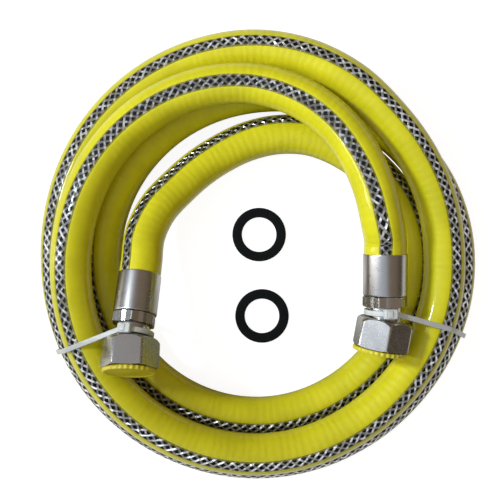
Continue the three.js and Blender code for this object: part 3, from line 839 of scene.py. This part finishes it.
class GASHOSE_OT_tails(bpy.types.Operator):
    """Builds the spanner hexagons with their necks and spigots"""

    bl_idname = "gashose.tails"
    bl_label = "Hexagons and necks"

    def execute(self, context):
        colours = context.scene.gas_hose_colours
        plated = steel_finish("tail_plating", colours.plating, 0.2, 0.3)
        count = 240
        groove = (SNAP_START - SNAP_ROOM, SNAP_END + SNAP_ROOM)
        for letter in "ab":
            wall = hexagon(HEX_FLATS, FITTINGS[letter]["hex_turn"], count)
            rim = corner_radius(HEX_FLATS) + CORNER_ROOM
            back, back_place = domed(HEX_START, 1.1, low=9.7, high=rim, wall=wall, steps=6)
            front, front_place = domed(0, 1.1, low=9.7, high=rim, wall=wall, steps=6)
            inner = ring_rows(rounded([
                [NECK_RADIUS, HEX_END], [NECK_RADIUS, groove[0]], [GROOVE_RADIUS, groove[0]],
                [GROOVE_RADIUS, groove[1]], [NECK_RADIUS, groove[1]],
                [NECK_RADIUS, TAIL_END - 0.8], [FACE_RADIUS, TAIL_END], [GAS_WAY, TAIL_END],
                [GAS_WAY, SPIGOT_START], [SPIGOT_RADIUS, SPIGOT_START],
                [SPIGOT_RADIUS, HEX_START],
            ], cut=0.4, steps=4), count)
            radius = np.vstack([back, front[::-1], inner[0]])
            place = np.vstack([back_place, HEX_END - front_place[::-1], inner[1]])
            piece = turned(f"hexagon_{letter}", fitting_frame(letter), radius, place)
            finish_piece(piece, plated, "hose", (f"tail_{letter}",))
        return {"FINISHED"}


class GASHOSE_OT_nuts(bpy.types.Operator):
    """Builds the union nuts with a domed back, chamfered front and an inner thread"""

    bl_idname = "gashose.nuts"
    bl_label = "Union nuts"

    def execute(self, context):
        sizes = context.scene.gas_hose_sizes
        colours = context.scene.gas_hose_colours
        plated = steel_finish("nut_plating", colours.plating, 0.19, 0.6)
        count = 288
        rim = corner_radius(NUT_FLATS) + CORNER_ROOM
        pitch = sizes.thread_pitch / MM
        angle = np.linspace(0, TURN, count, endpoint=False)
        for letter in "ab":
            wall = hexagon(NUT_FLATS, FITTINGS[letter]["nut_turn"], count)
            back, back_place = domed(0, 3.9, low=9.9, high=rim, wall=wall, steps=14)
            front, front_place = domed(0, 1.5, low=11.6, high=rim, wall=wall, steps=8)
            mouth = ring_rows([
                [NUT_MOUTH + 0.9, NUT_LENGTH], [NUT_MOUTH, NUT_LENGTH],
                [NUT_MOUTH - 0.1, NUT_LENGTH - 0.1],
            ], count)
            deep = np.linspace(THREAD_END, UNDERCUT_END, 48)[:, None]
            wave = np.abs((deep / pitch + angle / TURN) % 1 - 0.5) * 2
            thread = THREAD_RADIUS + THREAD_DEPTH * wave
            shelf = ring_rows([
                [UNDERCUT_RADIUS - 0.05, UNDERCUT_END - 0.3], [UNDERCUT_RADIUS, UNDERCUT_END - 0.5],
                [UNDERCUT_RADIUS, NUT_SHELF + 0.2], [UNDERCUT_RADIUS - 0.2, NUT_SHELF],
                [NUT_THROAT + 0.2, NUT_SHELF], [NUT_THROAT, NUT_SHELF - 0.2],
                [NUT_THROAT, 0.3], [NUT_THROAT + 0.3, 0.0],
            ], count)
            radius = np.vstack([back, front[::-1], mouth[0], thread, shelf[0]])
            place = np.vstack([back_place, NUT_LENGTH - front_place[::-1], mouth[1],
                               np.broadcast_to(deep, thread.shape), shelf[1]])
            piece = turned(f"nut_{letter}_skin", nut_frame(letter), radius, place)
            node = (f"union_nut_{letter}",)
            finish_piece(piece, plated, f"nut_{letter}", node)
        return {"FINISHED"}


class GASHOSE_OT_caps(bpy.types.Operator):
    """Builds the push-in caps: a toothed rim, a dished front and a hollow plug"""

    bl_idname = "gashose.caps"
    bl_label = "Caps"

    def execute(self, context):
        sizes = context.scene.gas_hose_sizes
        colours = context.scene.gas_hose_colours
        yellow = cap_finish(colours.cap)
        count = sizes.cap_teeth * 10
        angle = np.linspace(0, TURN, count, endpoint=False)
        tooth = 0.5 - 0.5 * np.cos(angle * sizes.cap_teeth)
        outline = np.array([
            [0.02, 0.0], [7.6, 0.0], [7.9, -0.3], [7.95, -3.8], [8.1, -4.15], [8.5, -4.2],
            [8.8, -3.9], [8.95, -3.2], [8.97, -0.3], [9.2, 0.0], [12.0, 0.0], [12.55, 0.1],
            [12.75, 0.35], [12.78, 1.0], [12.75, 1.6], [12.55, 1.9], [12.2, 1.98],
            [11.3, 1.98], [11.0, 1.85], [10.8, 1.6], [10.4, 1.52], [2.6, 1.52],
            [2.3, 1.6], [1.9, 1.65], [0.02, 1.65],
        ]) + [0, CAP_START]
        tooth_start, tooth_depth = 11.5, 0.42
        toothed = np.clip(outline[:, :1] - tooth_start, 0, 1)
        radius = outline[:, :1] - tooth_depth * toothed * tooth
        place = np.broadcast_to(outline[:, 1:], radius.shape)
        for letter in "ab":
            piece = turned(f"cap_{letter}_skin", nut_frame(letter), radius, place,
                           close_rows=False, ends=True)
            finish_piece(piece, yellow, f"nut_{letter}", (f"end_cap_{letter}",))
        return {"FINISHED"}


def strap_line(letter, line):
    """Middle line and facing of a strap pulled tight round the neck and the turns beside it: at
    each angle it touches whichever round reaches out furthest, and runs straight between them"""
    fit = FITTINGS[letter]
    origin, axis, side, up = fitting_frame(letter)
    neck = origin + axis * (HEX_END + fit["strap_place"])
    heading = math.radians(fit["strap_heading"])
    away = np.array([math.cos(heading), math.sin(heading), 0.0])
    across = side * np.sign(side @ away)
    start = neck + across * (NECK_RADIUS + NECK_ROOM)
    beside = line[:, :3] - start
    off = beside[:, 0] * away[1] - beside[:, 1] * away[0]
    along = beside @ away
    near = (along[1:] > -HOSE_RADIUS) & (along[1:] < STRAP_REACH)
    hit = (off[:-1] * off[1:] <= 0) & near
    crossed = np.flatnonzero(hit) + 1
    run = unit(line[crossed, :3] - line[crossed - 1, :3])
    square = np.abs(run[:, 0] * away[1] - run[:, 1] * away[0])
    point = np.vstack([neck, line[crossed, :3]])
    reach = np.append(0, NECK_RADIUS + NECK_ROOM + along[crossed])
    radius = np.append(NECK_RADIUS / up[2], HOSE_RADIUS / square)
    level = np.vstack([across, np.tile(away, (len(crossed), 1))])
    over = np.vstack([up, np.tile(UP, (len(crossed), 1))])
    angle = np.linspace(0, TURN, 361)[:-1, None]
    support = reach * np.cos(angle) + point[:, 2] * np.sin(angle) + radius
    best = support.argmax(axis=1)
    facing = level[best] * np.cos(angle) + over[best] * np.sin(angle)
    middle = point[best] + facing * (radius[best] + STRAP_STAND_OFF)[:, None]
    closed = np.hstack([middle, facing])
    closed = np.vstack([closed, closed[:1]])
    return evenly(closed, STRAP_SPACING)[0][:-1], neck, axis, across, up


def soft_block(half):
    """A box with rounded edges: a ball whose sines and cosines are raised to a small power"""
    power, rows, columns = 0.28, 20, 40
    pole = math.pi / 2 - 0.02

    def bent(value):
        return np.sign(value) * np.abs(value) ** power

    tall = np.linspace(-pole, pole, rows)[:, None]
    round_ = np.linspace(0, TURN, columns, endpoint=False)[None, :]
    x = half[0] * bent(np.cos(tall)) * bent(np.cos(round_))
    y = half[1] * bent(np.cos(tall)) * bent(np.sin(round_))
    z = half[2] * bent(np.sin(tall)) * np.ones_like(round_)
    return np.stack([x, y, z], axis=-1)


class GASHOSE_OT_ties(bpy.types.Operator):
    """Builds the cable ties: a strap round the neck and the coil, with its head on the neck"""

    bl_idname = "gashose.ties"
    bl_label = "Cable ties"

    def execute(self, context):
        nylon = nylon_finish(context.scene.gas_hose_colours.nylon)
        line, _ = hose_line(STRAP_SPACING)
        thin, wide = STRAP_HALF_THICK, STRAP_HALF_WIDE
        corners = [[-thin, -wide], [thin, -wide], [thin, wide], [-thin, wide]]
        section = rounded(corners, cut=0.28, steps=4)
        for letter in "ab":
            route, neck, axis, across, up = strap_line(letter, line)
            middle, facing = route[:, :3], route[:, 3:]
            tangent = unit(np.roll(middle, -3, axis=0) - np.roll(middle, 3, axis=0))
            flank = unit(np.cross(tangent, facing))
            outward = np.cross(flank, tangent)
            points = (middle[:, None] + section[:, :1] * outward[:, None]
                      + section[:, 1:] * flank[:, None])
            along = np.arange(len(route) + 1) * STRAP_SPACING
            around = np.linspace(0, 6.0, len(section) + 1)
            strap = skin(f"strap_{letter}", points, mapped(around, along), close_rows=True)
            finish_piece(strap, nylon, "hose", (f"cable_tie_{letter}",))
            self.head(letter, neck, axis, across, up, nylon)
        return {"FINISHED"}

    @staticmethod
    def head(letter, neck, axis, across, up, nylon):
        """The head: a rounded block over the neck and the cut end that stands out of it. Each
        has its half sizes, its height over the neck's middle and its shift along the strap."""
        angle = math.radians(FITTINGS[letter]["head_turn"])
        out = across * math.cos(angle) + up * math.sin(angle)
        along = np.cross(out, axis)
        shapes = [((3.2, 2.3, 1.95), 10.35, 0.0), ((1.2, 1.7, 0.7), 11.9, -0.6)]
        for index, (half, height, shift) in enumerate(shapes):
            block = soft_block(half)
            points = (neck + block[..., :1] * along + block[..., 1:2] * axis
                      + block[..., 2:] * out + out * height + along * shift)
            turn = np.cross(along, axis) @ out
            points = points if turn > 0 else points[:, ::-1]
            rows, columns = points.shape[:2]
            grid = np.meshgrid(np.arange(columns + 1), np.arange(rows))
            chart = np.stack(grid, axis=-1) * 0.4
            piece = skin(f"tie_head_{letter}_{index + 1}", points, chart, ends=True)
            finish_piece(piece, nylon, "hose")


class GASHOSE_OT_washers(bpy.types.Operator):
    """Builds the loose sealing washers that lie inside the coil"""

    bl_idname = "gashose.washers"
    bl_label = "Sealing washers"

    def execute(self, context):
        rubber = rubber_finish(context.scene.gas_hose_colours.rubber)
        count = 128
        angle = np.linspace(0, TURN, count, endpoint=False)
        low, high = WASHER_FACES
        outline = rounded([
            [WASHER_BORE, low], [WASHER_RADIUS, low], [WASHER_RADIUS, high], [WASHER_BORE, high],
        ], cut=0.6, steps=6)
        for number, (x, y) in enumerate(WASHER_PLACES, 1):
            ring = polar(outline[:, :1], angle[None, :])
            height = np.broadcast_to(outline[:, 1:], ring.shape[:2])
            centre = np.array([x, y, 0.0]) + CENTRING
            points = np.concatenate([ring, height[..., None]], axis=-1) + centre
            around = np.linspace(0, TURN, count + 1) * (WASHER_BORE + WASHER_RADIUS) / 2
            travel = np.arange(len(outline) + 1) * 0.5
            piece = skin(f"washer_{number}", points, mapped(around, travel), close_rows=True)
            finish_piece(piece, rubber, "hose", (f"sealing_washer_{number}",))
        return {"FINISHED"}


class GASHOSE_OT_rings(bpy.types.Operator):
    """Gives the clamp rings and snap rings of the frame their drawn-wire finish"""

    bl_idname = "gashose.rings"
    bl_label = "Clamp and snap rings"

    def execute(self, context):
        wire = wire_finish(context.scene.gas_hose_colours.ferrule)
        for letter in "ab":
            for name in (f"braid_ring_{letter}", f"snap_ring_{letter}"):
                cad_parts[name].material_slots[0].material = wire
        return {"FINISHED"}


class GASHOSE_OT_cord(bpy.types.Operator):
    bl_idname = "gashose.cord"
    bl_label = "Declare the hose"

    def execute(self, context):
        line, reached = hose_line(COVER_SPACING, inside=FERRULE_GRIP)
        return {"FINISHED"}


class GASHOSE_OT_stage(bpy.types.Operator):
    """Sets the pale floor, the soft lights, the world and the camera"""

    bl_idname = "gashose.stage"
    bl_label = "Stage"

    def execute(self, context):
        self.floor()
        self.world(context.scene)
        self.light("window", "AREA", (-1.3, 0.05, 0.36), (0.0, 0.0, 0.0), energy=7.0,
                   shape="RECTANGLE", size=0.12, size_y=1.2)
        self.light("spot", "SPOT", (-0.54, 0.21, 0.62), (0.13, 0.03, 0.0), energy=20.0,
                   color=(0.88, 1.0, 1.12), shadow_soft_size=0.06,
                   spot_size=math.radians(28), spot_blend=0.8)
        self.camera(context.scene)
        return {"FINISHED"}

    @staticmethod
    def floor():
        """A square floor, white to the camera and in mirrors. The ring under the coil isn't
        white in mirrors: it carries a painted shadow of the hose, which there takes the light from
        the floor."""
        mesh = bpy.data.meshes.new("floor")
        signs = ((-1, -1), (1, -1), (1, 1), (-1, 1))
        corners = [(x * FLOOR_HALF, y * FLOOR_HALF, -FLOOR_DROP) for x, y in signs]
        mesh.from_pydata(corners, [], [(0, 1, 2, 3)])
        made = Finish("floor_white", (0.3, 0.29, 0.27), 0.7, Emission_Strength=1.0)
        camera, glossy, through = (
            made.node("ShaderNodeLightPath", output=f"Is {kind} Ray")
            for kind in ("Camera", "Glossy", "Transmission")
        )
        far = made.node("ShaderNodeVectorMath", {"operation": "LENGTH"}, {0: made.place()}, "Value")
        # Painted shadow: the ring under the coil is dark to mirror rays, though it stays white to
        # the camera
        coil = made.step(far, 0.03, 0.055) * (1 - made.step(far, 0.105, 0.125))
        mirrored = made.math("MAXIMUM", glossy, through) * (1 - coil)
        seen = made.math("MAXIMUM", camera, mirrored)
        black, white = (0, 0, 0, 1), (0.9, 0.9, 0.9, 1)
        made.feed("Emission Color", made.blend(seen, black, white))
        mesh.materials.append(made.material)
        added("floor", mesh)

    @staticmethod
    def world(scene):
        """A dim warm room that grows bright and bluish overhead and towards the left"""
        world = bpy.data.worlds.new("studio")
        world.use_nodes = True
        scene.world = world
        sky = Nodes(world.node_tree)
        x, y, z = sky.parts(sky.node("ShaderNodeTexCoord", output="Generated"))
        warm, bluish = (0.335, 0.265, 0.195, 1), (0.74, 0.83, 0.97, 1)
        dim = (0.045, 0.03, 0.015, 1)
        left = sky.step(x * -0.9 - y * 0.35, -0.18, 0.18)
        overhead = sky.blend(left, warm, bluish)
        colour = sky.blend(sky.step(z, 0.0, 0.75), dim, overhead)
        sky.put(sky.tree.nodes["Background"].inputs["Color"], colour)

    @staticmethod
    def light(name, kind, place, aim, **settings):
        """Adds a light at a place, turned towards its aim"""
        data = bpy.data.lights.new(name, kind)
        for key, value in settings.items():
            setattr(data, key, value)
        light = added(name, data)
        light.location = place
        light.rotation_euler = (Vector(aim) - light.location).to_track_quat("-Z", "Y").to_euler()

    @staticmethod
    def camera(scene):
        """A camera that looks straight down, with the picture's field of view"""
        data = bpy.data.cameras.new("camera")
        data.sensor_fit = "HORIZONTAL"
        data.sensor_width = SENSOR_WIDTH
        data.lens = SENSOR_WIDTH * FOCAL_PIXELS / PICTURE_PIXELS
        camera = added("camera", data)
        camera.location = CAMERA_PLACE
        scene.camera = camera
        scene.view_settings.view_transform = "Standard"


class GASHOSE_PT_panel(bpy.types.Panel):
    """Sizes, colours and build steps of the gas hose"""

    bl_label = "Gas hose"
    bl_idname = "GASHOSE_PT_panel"
    bl_space_type = "VIEW_3D"
    bl_region_type = "UI"
    bl_category = "Gas hose"

    def draw(self, context):
        for group in (context.scene.gas_hose_sizes, context.scene.gas_hose_colours):
            box = self.layout.box()
            for name in group.bl_rna.properties.keys():
                if name not in ("rna_type", "name"):
                    box.prop(group, name)
        for step in STEPS:
            self.layout.operator(step.bl_idname)


STEPS = (
    GASHOSE_OT_stage, GASHOSE_OT_cover, GASHOSE_OT_ferrules, GASHOSE_OT_tails, GASHOSE_OT_nuts,
    GASHOSE_OT_caps, GASHOSE_OT_ties, GASHOSE_OT_washers, GASHOSE_OT_rings, GASHOSE_OT_cord,
)
CLASSES = (GasHoseSizes, GasHoseColours, *STEPS, GASHOSE_PT_panel)


def register():
    for kind in CLASSES:
        bpy.utils.register_class(kind)
    bpy.types.Scene.gas_hose_sizes = PointerProperty(type=GasHoseSizes)
    bpy.types.Scene.gas_hose_colours = PointerProperty(type=GasHoseColours)


def unregister():
    del bpy.types.Scene.gas_hose_colours
    del bpy.types.Scene.gas_hose_sizes
    for kind in reversed(CLASSES):
        bpy.utils.unregister_class(kind)


def main():
    register()
    for step in STEPS:
        group, name = step.bl_idname.split(".")
        getattr(getattr(bpy.ops, group), name)()


if __name__ == "__main__":
    main()
